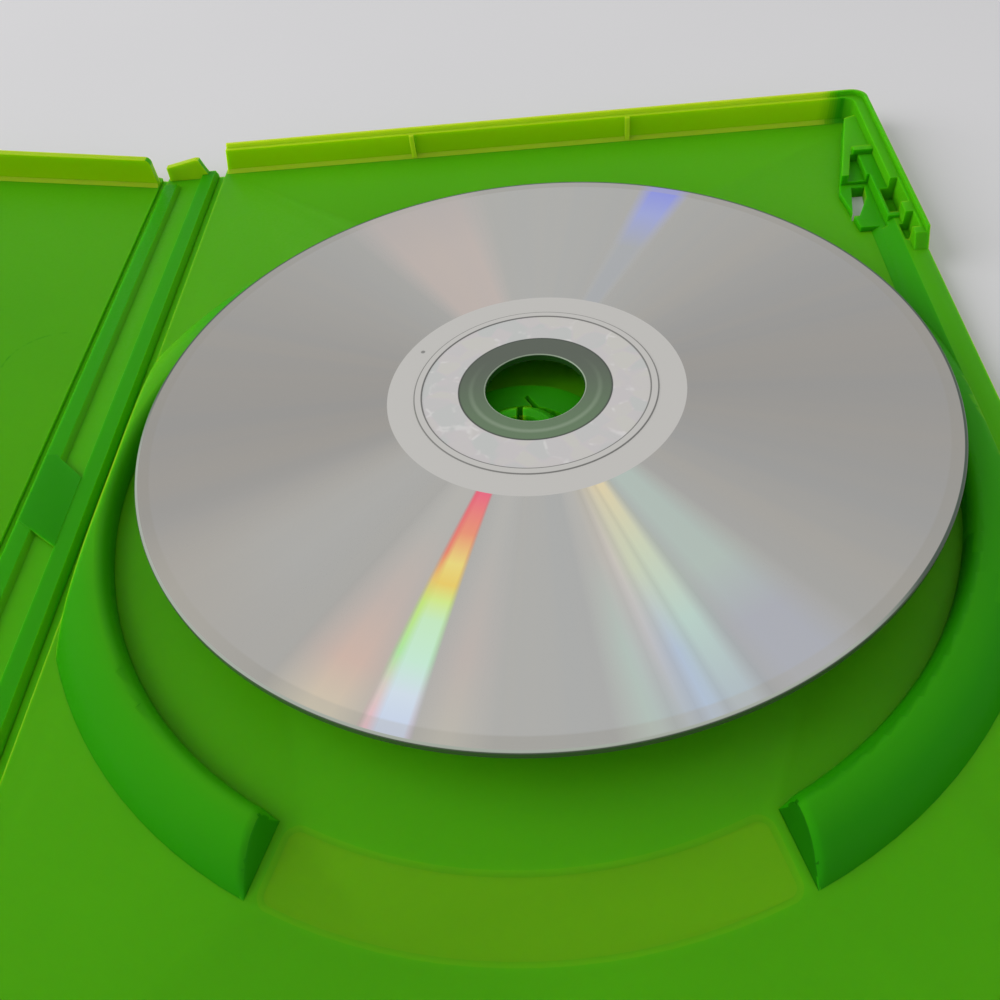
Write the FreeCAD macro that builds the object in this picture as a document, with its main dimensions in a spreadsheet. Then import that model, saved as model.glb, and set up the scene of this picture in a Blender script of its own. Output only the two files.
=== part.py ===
import FreeCAD, Part
import math
import os
import Sketcher

# Game disc case, lying open with its tray side on the table and a loose disc on the hub.
# Frame: origin on the tray's underside below the hub, +X to the opening edge of the tray,
# +Y to the top end of the case, +Z up. All sizes are in millimetres and degrees.
# The case is one moulding in life; it is cut here only where its two living hinges bend.

SIZES = [
    ("disc_radius", 60.0, "radius of the disc"),
    ("disc_bore", 7.5, "radius of the disc's centre hole"),
    ("disc_wall", 1.2, "thickness of the disc"),
    ("disc_right", 2.4, "disc centre to the right of the hub"),
    ("disc_up", 8.6, "disc centre above the hub, towards the top end"),
    ("stack_radius", 17.75, "middle radius of the disc's stacking ring"),
    ("stack_wide", 1.1, "width of the stacking ring"),
    ("stack_rise", 0.15, "height of the stacking ring"),
    ("rest_gap", 0.05, "play left under the loose disc"),
    ("hinge_side", 4.8, "seated disc's edge to the tray's hinge line"),
    ("edge_side", 9.3, "seated disc's edge to the opening edge"),
    ("top_side", 30.5, "seated disc's edge to the top end"),
    ("low_side", 39.5, "seated disc's edge to the bottom end"),
    ("floor_wall", 1.1, "thickness of the panels"),
    ("closed_depth", 13.4, "thickness of the closed case"),
    ("cover_lift", 8.0, "angle by which the open cover is raised"),
    ("rim_wall", 1.5, "thickness of the end rims"),
    ("edge_wall", 2.4, "thickness of the rim at the opening edge"),
    ("corner_radius", 3.0, "outer corners in plan"),
    ("inner_radius", 2.0, "inner corners of the tray's rims in plan"),
    ("rim_foot", 0.7, "sloped foot at the base of the end rims"),
    ("lip_overlap", 0.6, "depth by which the closed lips pass each other"),
    ("seam_gap", 0.3, "play above and below the closed lips"),
    ("lip_wall", 0.6, "thickness of the tray's outer lip"),
    ("lip_gap", 0.3, "play between the two lips"),
    ("rib_wide", 1.0, "width of the upright ribs on the end rims"),
    ("rib_deep", 0.6, "depth of the upright ribs"),
    ("rib_left", 22.7, "hub axis to the left upright rib"),
    ("rib_right", 22.0, "hub axis to the right upright rib"),
    ("web_wall", 0.4, "thickness of the living hinges"),
    ("web_span", 1.6, "width of the living hinges"),
    ("rim_start_low", 1.2, "hinge line to the rim end, at the floor"),
    ("rim_start_high", 2.4, "hinge line to the rim end, at the top"),
    ("tab_play", 0.4, "play between the spine's ends and the tray's rims"),
    ("spine_rib_rise", 0.9, "height of the spine's edge ribs"),
    ("spine_rib_wide", 2.6, "width of the spine's edge ribs"),
    ("spine_tab_wall", 1.3, "thickness of the spine's end tabs"),
    ("spine_tab_rise", 4.3, "height of the end tabs at their tray side"),
    ("spine_lug_long", 13.4, "length of the raised lug on the spine"),
    ("spine_lug_wide", 7.4, "width of the raised lug"),
    ("spine_lug_skew", 5.3, "drop of the lug's slanted ends over its width"),
    ("spine_lug_low", 3.4, "hub axis to the lug's middle, towards the bottom end"),
    ("spine_lug_extra", 0.1, "lug's top above the edge ribs"),
    ("cover_play", 0.3, "play between the spine's end tabs and the cover's rims"),
    ("cover_start_low", 0.1, "cover's hinge web to its rim end, at the panel"),
    ("cover_start_high", 0.8, "cover's hinge web to its rim end, at the top"),
    ("cover_rim_round", 1.2, "rounded top corner of the cover's rim ends"),
    ("flange_cut", 6.0, "length of the cut corners of the cover's panel at the hinge"),
    ("spine_play", 0.5, "play between the folded spine and the ridge"),
    ("well_play", 1.0, "seated disc's edge to the disc well's ridge"),
    ("ridge_wide", 9.0, "width of the ridge"),
    ("ridge_rise", 3.3, "height of the ridge above the floor"),
    ("ridge_round", 1.8, "rounding of the ridge's inner top edge"),
    ("notch_half", 28.1, "half width of the finger notches at the ridge's inner wall"),
    ("notch_lean", 16.3, "lean of the notches' sides from the case's length"),
    ("notch_slant", 24.0, "slant of the ridge's end faces"),
    ("patch_sink", 0.3, "depth of the thin patches between the ridge ends"),
    ("patch_gap", 1.1, "ridge's end to the side of the thin patch"),
    ("patch_lead", 0.8, "thin patch's reach inside the ridge's inner wall"),
    ("patch_corner", 2.0, "rounded corners of the thin patches in plan"),
    ("step_rise", 2.5, "height of the opening edge in the thumb recess"),
    ("step_base", 6.7, "width of the opening edge's sloped foot"),
    ("step_top", 3.4, "width of the opening edge's flat top"),
    ("recess_end", 47.1, "case end to the thumb recess"),
    ("recess_slope", 2.4, "run of the sloped ends of the thumb recess"),
    ("hub_rise", 5.6, "height of the hub above the floor"),
    ("bead_play", 0.4, "disc's hole to the bead of the hub's fingers"),
    ("bead_proud", 0.6, "bead proud of the fingers' shoulder"),
    ("finger_wall", 3.1, "thickness of the hub's fingers"),
    ("finger_bevel", 1.3, "width of the bevel at the fingers' tops"),
    ("seat_rise", 2.0, "height of the disc seat above the floor"),
    ("seat_inner", 9.5, "inner radius of the disc seat"),
    ("seat_outer", 14.6, "outer radius of the disc seat"),
    ("trench_sink", 0.3, "depth of the trench round the hub, below the floor"),
    ("slit_wide", 1.0, "width of the three slits between the fingers"),
    ("slit_reach", 9.2, "radius at which the slits end"),
    ("arm_wide", 0.8, "width of the three cuts that free the seat's spring arms"),
    ("arm_offset", 6.7, "distance of those cuts from the hub axis"),
    ("arm_start", 5.8, "inner end of the cuts, along their own line"),
    ("arm_end", 9.5, "outer end of the cuts, along their own line"),
    ("latch_rise", 3.0, "height of the latch blocks above the floor"),
    ("latch_low", 1.0, "height of the low part of the latch blocks above the floor"),
    ("latch_end", 4.8, "case end to the latch block"),
    ("latch_long", 35.0, "length of the latch block"),
    ("latch_wide", 10.0, "opening edge to the widest place of the latch block"),
    ("latch_join", 2.0, "opening edge to where the latch block meets the rim"),
    ("catch_skin", 1.1, "wall left outside the latch pockets"),
    ("catch_wide", 2.8, "width of the latch catch"),
    ("catch_long", 7.6, "length of the latch catch"),
    ("catch_end", 35.0, "case end to the middle of the latch catch"),
    ("catch_base", 0.5, "bottom of the latch catch above the floor"),
    ("tongue_wall", 1.2, "thickness of the cover's latch tongues"),
    ("tongue_play", 1.6, "play at each end of a tongue in its catch"),
    ("tongue_clear", 1.7, "play below a tongue in its catch"),
]


class Size:
    """A length that carries its number and the expression that drives it."""

    def __init__(self, value, text):
        self.value = float(value)
        self.text = text

    def __add__(self, other):
        other = as_size(other)
        return Size(self.value + other.value, "(%s + %s)" % (self.text, other.text))

    def __radd__(self, other):
        return as_size(other) + self

    def __sub__(self, other):
        other = as_size(other)
        return Size(self.value - other.value, "(%s - %s)" % (self.text, other.text))

    def __rsub__(self, other):
        return as_size(other) - self

    def __mul__(self, other):
        other = as_size(other)
        return Size(self.value * other.value, "(%s * %s)" % (self.text, other.text))

    def __rmul__(self, other):
        return as_size(other) * self

    def __truediv__(self, other):
        other = as_size(other)
        return Size(self.value / other.value, "(%s / %s)" % (self.text, other.text))

    def __neg__(self):
        return as_size(0) - self


def as_size(number):
    if isinstance(number, Size):
        return number
    return Size(number, "(%r)" % float(number))


def sine(angle):
    return Size(math.sin(math.radians(angle.value)), "sin(%s * 1 deg)" % angle.text)


def cosine(angle):
    return Size(math.cos(math.radians(angle.value)), "cos(%s * 1 deg)" % angle.text)


def root(square):
    return Size(math.sqrt(square.value), "sqrt(%s)" % square.text)


doc = FreeCAD.newDocument("disc_case")
sheet = doc.addObject("Spreadsheet::Sheet", "Sizes")
size = {}
for row, (alias, number, meaning) in enumerate(SIZES, start=1):
    sheet.set("A%d" % row, alias)
    sheet.set("B%d" % row, str(number))
    sheet.set("C%d" % row, meaning)
    sheet.setAlias("B%d" % row, alias)
    size[alias] = Size(number, "Sizes." + alias)
doc.recompute()


def new_body(label):
    body = doc.addObject("PartDesign::Body", "body_" + label)
    body.Label = label
    return body


def new_sketch(body, role, name, level):
    """A sketch on one of the body's own planes, moved along the plane's normal."""
    sketch = body.newObject("Sketcher::SketchObject", name)
    plane = [item for item in body.Origin.OriginFeatures if item.Role == role][0]
    sketch.AttachmentSupport = [(plane, "")]
    sketch.MapMode = "FlatFace"
    sketch.setExpression("AttachmentOffset.Base.z", as_size(level).text)
    return sketch


def pin(sketch, geometry, end, x, y):
    """Hold one end of a sketch line at driven coordinates."""
    for kind, place in (("DistanceX", x), ("DistanceY", y)):
        rule = Sketcher.Constraint(kind, -1, 1, geometry, end, place.value)
        index = sketch.addConstraint(rule)
        sketch.setExpression("Constraints[%d]" % index, place.text)


def draw_loop(sketch, corners):
    """Draw a closed loop. A corner is (x, y), or (x, y, radius) when the edge that leaves it
    is an arc, which turns anticlockwise, or clockwise where the radius is negative."""
    points = [(as_size(c[0]), as_size(c[1])) for c in corners]
    radii = [as_size(c[2]) if len(c) > 2 else None for c in corners]
    drawn = []
    for i, radius in enumerate(radii):
        start = FreeCAD.Vector(points[i][0].value, points[i][1].value, 0)
        after = points[(i + 1) % len(points)]
        stop = FreeCAD.Vector(after[0].value, after[1].value, 0)
        if radius is None:
            drawn.append((sketch.addGeometry(Part.LineSegment(start, stop), False), 1, 2))
            continue
        ends = (1, 2)
        if radius.value < 0:
            start, stop = stop, start
            ends = (2, 1)
        chord = stop - start
        half = chord.Length / 2
        inward = FreeCAD.Vector(-chord.y, chord.x, 0) / chord.Length
        centre = (start + stop) / 2 + inward * math.sqrt(max(radius.value ** 2 - half ** 2, 0))
        circle = Part.Circle(centre, FreeCAD.Vector(0, 0, 1), abs(radius.value))
        first = math.atan2(start.y - centre.y, start.x - centre.x)
        last = math.atan2(stop.y - centre.y, stop.x - centre.x)
        drawn.append((sketch.addGeometry(Part.ArcOfCircle(circle, first, last), False),) + ends)
    for i, (line, _, leaving) in enumerate(drawn):
        after, arriving, _ = drawn[(i + 1) % len(drawn)]
        sketch.addConstraint(Sketcher.Constraint("Coincident", line, leaving, after, arriving))
    for i, (line, arriving, _) in enumerate(drawn):
        pin(sketch, line, arriving, points[i][0], points[i][1])
        if radii[i] is not None:
            radius = radii[i] if radii[i].value > 0 else -radii[i]
            index = sketch.addConstraint(Sketcher.Constraint("Radius", line, radius.value))
            sketch.setExpression("Constraints[%d]" % index, radius.text)


def profile(body, role, name, level, loops):
    sketch = new_sketch(body, role, name + "_sketch", level)
    for loop in loops:
        draw_loop(sketch, loop)
    doc.recompute()
    return sketch


def pad(body, role, name, level, length, *loops):
    """Add material from the sketch plane along its normal."""
    feature_sketch = profile(body, role, name, level, loops)
    feature = body.newObject("PartDesign::Pad", name)
    feature.Profile = feature_sketch
    feature.setExpression("Length", as_size(length).text)
    doc.recompute()
    return feature


def pocket(body, role, name, level, length, *loops, along_normal=False, taper=None):
    """Remove material, against the sketch plane's normal unless told otherwise."""
    feature_sketch = profile(body, role, name, level, loops)
    feature = body.newObject("PartDesign::Pocket", name)
    feature.Profile = feature_sketch
    feature.Reversed = along_normal
    feature.setExpression("Length", as_size(length).text)
    if taper is not None:
        feature.setExpression("TaperAngle", taper.text)
    doc.recompute()
    return feature


def turned(body, kind, name, loop):
    """A full turn about the body's own Z axis; loop points are (radius, height)."""
    feature_sketch = profile(body, "XZ_Plane", name, 0, [loop])
    feature = body.newObject("PartDesign::" + kind, name)
    feature.Profile = feature_sketch
    feature.ReferenceAxis = (feature_sketch, ["V_Axis"])
    feature.Angle = 360
    doc.recompute()
    return feature


def round_corners(body, name, base, radius, low, high):
    """Round the straight upright edges that run from one height to another."""
    chosen = []
    for number, edge in enumerate(base.Shape.Edges, start=1):
        box = edge.BoundBox
        upright = max(box.XLength, box.YLength) < 1e-4
        if upright and abs(box.ZMin - low.value) < 1e-4 and abs(box.ZMax - high.value) < 1e-4:
            chosen.append("Edge%d" % number)
    feature = body.newObject("PartDesign::Fillet", name)
    feature.Base = (base, chosen)
    feature.setExpression("Radius", radius.text)
    doc.recompute()
    return feature


def box_loop(x0, x1, y0, y1):
    return [(x0, y0), (x1, y0), (x1, y1), (x0, y1)]


def mirrored_loop(loop, side, middle):
    """The same loop, or its mirror image across a line of constant Y."""
    if side > 0:
        return loop
    flipped = [(x, 2 * middle - y) for x, y in loop]
    return flipped[::-1]


floor_wall = size["floor_wall"]
closed_depth = size["closed_depth"]
rim_height = (closed_depth + size["lip_overlap"]) / 2
lip_height = size["lip_overlap"] + size["seam_gap"]
rim_wall = size["rim_wall"]
edge_wall = size["edge_wall"]
corner = size["corner_radius"]
inner = size["inner_radius"]
lip_wall = size["lip_wall"]
web_wall = size["web_wall"]
web_half = size["web_span"] / 2
shoulder = rim_height - lip_height
hinge_x = -(size["disc_radius"] + size["hinge_side"])
right_x = size["disc_radius"] + size["edge_side"]
panel_reach = right_x - hinge_x
top_y = size["disc_radius"] + size["top_side"]
low_y = -(size["disc_radius"] + size["low_side"])
case_height = top_y - low_y
middle_y = (top_y + low_y) / 2
hinge_pitch = closed_depth - 2 * web_wall
cover_x = hinge_x - hinge_pitch
spine_top = top_y - rim_wall - size["tab_play"]
spine_low = low_y + rim_wall + size["tab_play"]
cover_inset = rim_wall + size["tab_play"] + size["spine_tab_wall"] + size["cover_play"]
cover_top = top_y - cover_inset
cover_low = low_y + cover_inset
spine_rib_top = floor_wall + size["spine_rib_rise"]
lug_top = spine_rib_top + size["spine_lug_extra"]
OVER = 1.0


def rounded_plate(start, edge, low, top, radius):
    """Plan of a panel: square at the hinge side, rounded at the opening edge."""
    return [
        (start, low),
        (edge - radius, low, radius),
        (edge, low + radius),
        (edge, top - radius, radius),
        (edge - radius, top),
        (start, top),
    ]


def foot_loop(top, low, end, floor_top):
    """Section of the sloped foot inside an end rim, at the top or the bottom end."""
    wall = top - rim_wall if end > 0 else low + rim_wall
    foot = size["rim_foot"]
    return [
        (wall - end * foot, floor_top - floor_wall / 2),
        (wall + end * rim_wall / 2, floor_top - floor_wall / 2),
        (wall + end * rim_wall / 2, floor_top + foot),
        (wall, floor_top + foot),
        (wall - end * foot, floor_top),
    ]


# Tray: floor, disc well ridge with its notches and thin patches.
tray = new_body("back_tray")
floor_start = hinge_x + web_half
pad(tray, "XY_Plane", "tray_floor", 0, floor_wall, rounded_plate(floor_start, right_x, low_y, top_y, corner))

ridge_in = size["disc_radius"] + size["well_play"]
ridge_out = ridge_in + size["ridge_wide"]
ridge_round = size["ridge_round"]
ridge_top = floor_wall + size["ridge_rise"]
crest = ridge_in + ridge_round
slope_run = ridge_out - crest
slope_radius = (slope_run * slope_run + size["ridge_rise"] * size["ridge_rise"]) / (2 * size["ridge_rise"])
turned(tray, "Revolution", "tray_ridge", [
    (ridge_in, floor_wall),
    (ridge_out, floor_wall, slope_radius),
    (crest, ridge_top, ridge_round),
    (ridge_in, ridge_top - ridge_round),
])
trim_x = hinge_x + lug_top - web_wall + size["spine_play"]
pocket(tray, "XY_Plane", "tray_ridge_hinge_trim", floor_wall, size["ridge_rise"] + OVER,
       box_loop(hinge_x - 10, trim_x, low_y, top_y), along_normal=True)
pocket(tray, "XY_Plane", "tray_ridge_edge_trim", 0, size["ridge_rise"] + floor_wall + OVER,
       box_loop(right_x, right_x + 10, low_y, top_y), along_normal=True)
notch_tangent = sine(size["notch_lean"]) / cosine(size["notch_lean"])
notch_y = root(ridge_in * ridge_in - size["notch_half"] * size["notch_half"])
NOTCH_LEAD = 10.0
NOTCH_PAST = 3.0


def notch_side(y, inset):
    """Half width of a notch at one place of the case's length, less an inset."""
    return size["notch_half"] + notch_tangent * (y - notch_y) - inset


notch_near = notch_y - NOTCH_LEAD
notch_far = ridge_out + NOTCH_PAST
notch_plan = [
    (-notch_side(notch_near, 0), notch_near),
    (notch_side(notch_near, 0), notch_near),
    (notch_side(notch_far, 0), notch_far),
    (-notch_side(notch_far, 0), notch_far),
]
for end, name in ((1, "top"), (-1, "low")):
    pocket(tray, "XY_Plane", "tray_notch_" + name, floor_wall, size["ridge_rise"] + OVER,
           mirrored_loop(notch_plan, end, 0), along_normal=True, taper=size["notch_slant"])

patch_in = ridge_in - size["patch_lead"]


def patch_y(radius):
    """Where the side of a thin patch crosses a circle about the hub."""
    start = notch_side(as_size(0), size["patch_gap"])
    slope = 1 + notch_tangent * notch_tangent
    return (root(radius * radius * slope - start * start) - start * notch_tangent) / slope


for end, name in ((1, "top"), (-1, "low")):
    near_y = patch_y(patch_in)
    far_y = patch_y(ridge_out)
    near_x = notch_side(near_y, size["patch_gap"])
    far_x = notch_side(far_y, size["patch_gap"])
    patch = pocket(tray, "XY_Plane", "tray_thin_patch_" + name, floor_wall, size["patch_sink"], [
        (end * near_x, end * near_y),
        (end * far_x, end * far_y, ridge_out),
        (-end * far_x, end * far_y),
        (-end * near_x, end * near_y, -patch_in),
    ])
round_corners(tray, "tray_patch_corners", patch, size["patch_corner"], floor_wall - size["patch_sink"], floor_wall)

# Tray: rims round three sides, with the outer closing lip and the slanted hinge ends.
rim_start = hinge_x + size["rim_start_low"]
pad(tray, "XY_Plane", "tray_rims", 0, rim_height, [
    (rim_start, low_y),
    (right_x - corner, low_y, corner),
    (right_x, low_y + corner),
    (right_x, top_y - corner, corner),
    (right_x - corner, top_y),
    (rim_start, top_y),
    (rim_start, top_y - rim_wall),
    (right_x - edge_wall - inner, top_y - rim_wall, -inner),
    (right_x - edge_wall, top_y - rim_wall - inner),
    (right_x - edge_wall, low_y + rim_wall + inner, -inner),
    (right_x - edge_wall - inner, low_y + rim_wall),
    (rim_start, low_y + rim_wall),
])
for end, name in ((1, "top"), (-1, "low")):
    pad(tray, "YZ_Plane", "tray_rim_foot_" + name, rim_start, right_x - edge_wall - rim_start,
        foot_loop(top_y, low_y, end, floor_wall))
pocket(tray, "XY_Plane", "tray_lip_rabbet", rim_height, lip_height,
       rounded_plate(hinge_x - 2, right_x - lip_wall, low_y + lip_wall, top_y - lip_wall, corner - lip_wall))
rim_slant = [
    (rim_start - 2, floor_wall),
    (rim_start, floor_wall),
    (hinge_x + size["rim_start_high"], rim_height),
    (hinge_x + size["rim_start_high"], rim_height + OVER),
    (rim_start - 2, rim_height + OVER),
]
pocket(tray, "XZ_Plane", "tray_rim_ends", -(low_y - OVER), case_height + 2 * OVER, rim_slant)

# Tray: thumb recess in the opening edge, over a low sloped foot.
step_top = floor_wall + size["step_rise"]
recess_low = low_y + size["recess_end"]
recess_high = top_y - size["recess_end"]
recess_slope = size["recess_slope"]
pocket(tray, "YZ_Plane", "tray_thumb_recess", right_x + OVER, edge_wall + 2 * OVER, [
    (recess_low + recess_slope, step_top),
    (recess_high - recess_slope, step_top),
    (recess_high, rim_height + OVER),
    (recess_low, rim_height + OVER),
])
foot_end = size["catch_end"] + size["catch_long"] / 2
pad(tray, "XZ_Plane", "tray_edge_foot", -(top_y - foot_end), case_height - 2 * foot_end, [
    (right_x - size["step_base"], floor_wall / 2),
    (right_x - 0.5, floor_wall / 2),
    (right_x - 0.5, step_top),
    (right_x - size["step_top"], step_top),
    (right_x - size["step_base"], floor_wall),
])

# Tray: upright ribs on the end rims.
rib_half = size["rib_wide"] / 2
rib_places = (-size["rib_left"], size["rib_right"])
rib_inner = top_y - rim_wall - size["rib_deep"]
rib_loops = []
for rib_x in rib_places:
    top_rib = box_loop(rib_x - rib_half, rib_x + rib_half, rib_inner, top_y - rim_wall / 2)
    for end in (1, -1):
        rib_loops.append(mirrored_loop(top_rib, end, middle_y))
pad(tray, "XY_Plane", "tray_rim_ribs", floor_wall / 2, shoulder - floor_wall / 2, *rib_loops)

# Tray: latch blocks at both ends of the opening edge, with a through slot and two pockets.
latch_top = floor_wall + size["latch_rise"]
latch_far = top_y - size["latch_end"]
latch_near = latch_far - size["latch_long"]
latch_wide = right_x - size["latch_wide"]
latch_join = right_x - size["latch_join"]
latch_plan = [
    (latch_join, latch_far),
    (latch_join - 2.6, latch_far - 1.0),
    (latch_wide, latch_near + 11.3),
    (latch_wide + 0.7, latch_near + 5.8),
    (latch_wide + 1.3, latch_near),
    (latch_join, latch_near),
]
ledge_plan = box_loop(latch_join - 4.0, latch_join, latch_far - 14.6, latch_far - 13.2)
low_plan = box_loop(latch_wide - OVER, latch_wide + 5.6, latch_near - OVER, latch_near + 13.6)
slot_plan = [
    (latch_wide + 0.7, latch_near + 3.5),
    (latch_wide + 1.9, latch_near + 3.5),
    (latch_wide + 4.4, latch_near + 9.2),
    (latch_wide + 4.8, latch_near + 12.6),
    (latch_wide + 2.4, latch_near + 12.6),
]
facet_plan = [
    (latch_wide + 1.7, latch_near + 13.0),
    (latch_wide + 5.0, latch_near + 13.0),
    (latch_wide + 5.0, latch_near + 20.6),
    (latch_wide + 3.6, latch_near + 20.6),
]
FACET_SINK = 1.4
HOLLOW_BASE = 1.2
catch_outer = right_x - size["catch_skin"]
catch_middle = top_y - size["catch_end"]
catch_half = size["catch_long"] / 2
catch_plan = box_loop(catch_outer - size["catch_wide"], catch_outer,
                      catch_middle - catch_half, catch_middle + catch_half)
hollow_plan = box_loop(catch_outer - 1.9, catch_outer,
                       catch_middle - catch_half - 7.6, catch_middle - catch_half - 3.0)
for end, name in ((1, "top"), (-1, "low")):
    pad(tray, "XY_Plane", "tray_latch_" + name, floor_wall / 2, latch_top - floor_wall / 2,
        mirrored_loop(latch_plan, end, middle_y))
    pad(tray, "XY_Plane", "tray_latch_ledge_" + name, floor_wall / 2, shoulder - 1.0 - floor_wall / 2,
        mirrored_loop(ledge_plan, end, middle_y))
    pocket(tray, "XY_Plane", "tray_latch_low_part_" + name, latch_top + OVER,
           size["latch_rise"] - size["latch_low"] + OVER, mirrored_loop(low_plan, end, middle_y))
    pocket(tray, "XY_Plane", "tray_latch_slot_" + name, latch_top, latch_top + OVER,
           mirrored_loop(slot_plan, end, middle_y))
    pocket(tray, "XY_Plane", "tray_latch_facet_" + name, latch_top, FACET_SINK,
           mirrored_loop(facet_plan, end, middle_y))
    pocket(tray, "XY_Plane", "tray_latch_catch_" + name, rim_height,
           rim_height - floor_wall - size["catch_base"], mirrored_loop(catch_plan, end, middle_y))
    pocket(tray, "XY_Plane", "tray_latch_hollow_" + name, rim_height,
           rim_height - floor_wall - HOLLOW_BASE, mirrored_loop(hollow_plan, end, middle_y))

# Tray: hub of three fingers inside a trench and a low disc seat.
hub_top = floor_wall + size["hub_rise"]
hub_bead = size["disc_bore"] - size["bead_play"]
hub_radius = hub_bead - size["bead_proud"]
hub_core = hub_radius - size["finger_wall"]
hub_flat = hub_radius - size["finger_bevel"]
hub_neck = hub_radius - 0.3
seat_top = floor_wall + size["seat_rise"]
trench = floor_wall - size["trench_sink"]
turned(tray, "Revolution", "tray_seat", [
    (0, floor_wall / 2),
    (size["seat_outer"], floor_wall / 2),
    (size["seat_outer"], floor_wall),
    (size["seat_outer"] - 0.5, seat_top),
    (0, seat_top),
])
turned(tray, "Groove", "tray_seat_trench", [
    (0, trench),
    (size["seat_inner"] - 0.4, trench),
    (size["seat_inner"], seat_top),
    (size["seat_inner"], seat_top + OVER),
    (0, seat_top + OVER),
])
turned(tray, "Revolution", "tray_hub", [
    (hub_core, trench - 0.2),
    (hub_neck, trench - 0.2),
    (hub_neck, hub_top - 2.8),
    (hub_bead, hub_top - 2.0),
    (hub_radius, hub_top - 0.9),
    (hub_flat, hub_top),
    (hub_core + 0.4, hub_top),
    (hub_core, hub_top - 0.5),
])
SLIT_TURNS = (90.0, 210.0, 330.0)
ARM_TURNS = (32.0, 152.0, 272.0)


def turned_box(near, far, left, right, turn):
    """A rectangle given along and across a line through the hub axis, turned about that axis."""
    cos = math.cos(math.radians(turn))
    sin = math.sin(math.radians(turn))
    corners = ((near, left), (far, left), (far, right), (near, right))
    return [(along * cos - across * sin, along * sin + across * cos) for along, across in corners]


slit_half = size["slit_wide"] / 2
slit_loops = [turned_box(hub_core - 1.0, size["slit_reach"], -slit_half, slit_half, turn) for turn in SLIT_TURNS]
pocket(tray, "XY_Plane", "tray_hub_slits", hub_top + OVER, hub_top + OVER - trench, *slit_loops)
arm_half = size["arm_wide"] / 2
arm_loops = [turned_box(size["arm_offset"] - arm_half, size["arm_offset"] + arm_half,
                        size["arm_start"], size["arm_end"], turn) for turn in ARM_TURNS]
pocket(tray, "XY_Plane", "tray_seat_arm_cuts", seat_top + OVER, seat_top + OVER - trench, *arm_loops)

# Spine: ribbed strip between the two living hinges, with a tab at each end and a lug.
spine = new_body("spine")
rib_lead = 0.4
rib_wide = size["spine_rib_wide"]
left = cover_x + web_half
right = hinge_x - web_half
pad(spine, "XZ_Plane", "spine_strip", -spine_top, spine_top - spine_low, [
    (left, 0),
    (right, 0),
    (right, floor_wall),
    (right - rib_lead, spine_rib_top),
    (right - rib_lead - rib_wide, spine_rib_top),
    (right - rib_lead - rib_wide - 0.6, floor_wall),
    (left + rib_lead + rib_wide + 0.6, floor_wall),
    (left + rib_lead + rib_wide, spine_rib_top),
    (left + rib_lead, spine_rib_top),
    (left, floor_wall),
])
rib_short = rim_wall + size["rim_foot"] + size["cover_play"]
spine_middle = (left + right) / 2
pocket(spine, "XY_Plane", "spine_rib_ends", spine_rib_top + OVER, spine_rib_top + OVER - floor_wall,
       box_loop(left - OVER, spine_middle, cover_top - rib_short, spine_top + OVER),
       box_loop(left - OVER, spine_middle, spine_low - OVER, cover_low + rib_short))
tab_high = floor_wall + size["spine_tab_rise"]
tab_plan = [
    (left + 0.5, floor_wall / 2),
    (hinge_x - 2.0, floor_wall / 2),
    (hinge_x - 3.0, floor_wall + 2.0),
    (hinge_x - 3.7, tab_high - 0.1),
    (hinge_x - 4.5, tab_high),
    (left + 0.7, tab_high - 1.3),
]
for name, upper in (("top", spine_top), ("low", spine_low + size["spine_tab_wall"])):
    pad(spine, "XZ_Plane", "spine_tab_" + name, -upper, size["spine_tab_wall"], tab_plan)
lug_half = size["spine_lug_long"] / 2
lug_drop = size["spine_lug_skew"] / 2
lug_middle = -size["spine_lug_low"]
lug_start = left + 0.6
lug_stop = lug_start + size["spine_lug_wide"]
pad(spine, "XY_Plane", "spine_lug", floor_wall / 2, lug_top - floor_wall / 2, [
    (lug_start, lug_middle - lug_half + lug_drop),
    (lug_stop, lug_middle - lug_half - lug_drop),
    (lug_stop, lug_middle + lug_half - lug_drop),
    (lug_start + 1.5, lug_middle + lug_half + lug_drop),
    (lug_start, lug_middle + lug_half + lug_drop),
])

# Living hinges: thin flat webs, the cover's one bent by the cover's lift.
tray_web = new_body("tray_hinge_web")
pad(tray_web, "XY_Plane", "tray_web_strip", 0, web_wall,
    box_loop(hinge_x - web_half, hinge_x + web_half, spine_low, spine_top))
lift_sine = sine(size["cover_lift"])
lift_cosine = cosine(size["cover_lift"])
cover_web = new_body("cover_hinge_web")
pad(cover_web, "XZ_Plane", "cover_web_strip", -spine_top, spine_top - spine_low, [
    (cover_x + web_half, 0),
    (cover_x + web_half, web_wall),
    (cover_x, web_wall),
    (cover_x - web_half * lift_cosine, web_wall + web_half * lift_sine),
    (cover_x - web_half * lift_cosine - web_wall * lift_sine,
     web_wall + web_half * lift_sine - web_wall * lift_cosine),
    (cover_x - web_wall * lift_sine, web_wall - web_wall * lift_cosine),
    (cover_x, 0),
])

# Cover: modelled flat about its own hinge line, then raised. Its panel lies on the negative side
# of its own X axis. Its end rims stand inside the tray's, with the spine's tabs between them.
cover = new_body("front_cover")
cover_edge = -panel_reach
under = -web_wall
inside = floor_wall - web_wall
rim_top = rim_height - web_wall

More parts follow.
